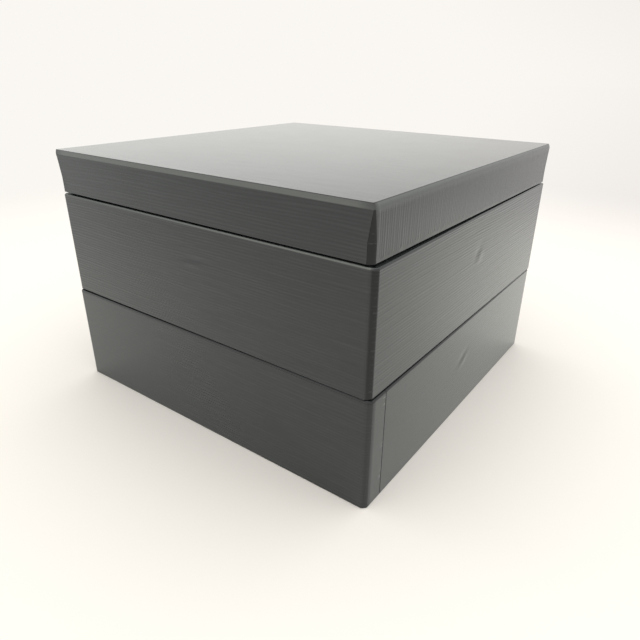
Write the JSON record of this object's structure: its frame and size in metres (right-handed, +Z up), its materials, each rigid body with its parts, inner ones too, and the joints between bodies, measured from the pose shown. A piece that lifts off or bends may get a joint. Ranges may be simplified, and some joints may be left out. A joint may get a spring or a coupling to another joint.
{
  "type": "paper jubako",
  "caption": "Square stacking food box with a shallow lid, covered in dark wood-grain embossed paper; each piece fits over the raised neck of the one below.",
  "frame": {"origin": "on the standing surface under the middle of the lower tier", "axes": "+X to the right side, -Y to the front, +Z up, the way the tier and the lid lift off"},
  "size_m": [0.1972, 0.1967, 0.131],
  "materials": {
    "embossed_paper": "wood-grain embossed, satin",
    "plain_paper": "matt",
    "grey_board": "matt",
    "stay_tape": "matt"
  },
  "bodies": {
    "lower_tier": {"lower_frame_board": "grey_board", "lower_frame_tape": "stay_tape", "lower_tray_board": "grey_board", "lower_tray_stay_back_right": "stay_tape", "lower_tray_stay_back_left": "stay_tape", "lower_tray_stay_front_left": "stay_tape", "lower_tray_stay_front_right": "stay_tape", "lower_wrap": "embossed_paper", "lower_neck_board": "grey_board", "lower_neck_tape": "stay_tape", "lower_neck_paper": "plain_paper", "lower_floor_paper": "plain_paper", "lower_base_paper": "plain_paper"},
    "upper_tier": {"upper_frame_board": "grey_board", "upper_frame_tape": "stay_tape", "upper_tray_board": "grey_board", "upper_tray_stay_back_right": "stay_tape", "upper_tray_stay_back_left": "stay_tape", "upper_tray_stay_front_left": "stay_tape", "upper_tray_stay_front_right": "stay_tape", "upper_wrap": "embossed_paper", "upper_neck_board": "grey_board", "upper_neck_tape": "stay_tape", "upper_neck_paper": "plain_paper", "upper_floor_paper": "plain_paper", "upper_base_paper": "plain_paper"},
    "lid": {"lid_board": "grey_board", "lid_stay_back_right": "stay_tape", "lid_stay_back_left": "stay_tape", "lid_stay_front_left": "stay_tape", "lid_stay_front_right": "stay_tape", "lid_wrap": "embossed_paper", "lid_lining": "plain_paper"}
  },
  "joints": [
    {"name": "upper_tier_lift", "type": "slide", "parent": "lower_tier", "child": "upper_tier", "axis": [0, 0, 1], "range_m": [0, 0.1]},
    {"name": "lid_lift", "type": "slide", "parent": "upper_tier", "child": "lid", "axis": [0, 0, 1], "range_m": [0, 0.08]}
  ]
}
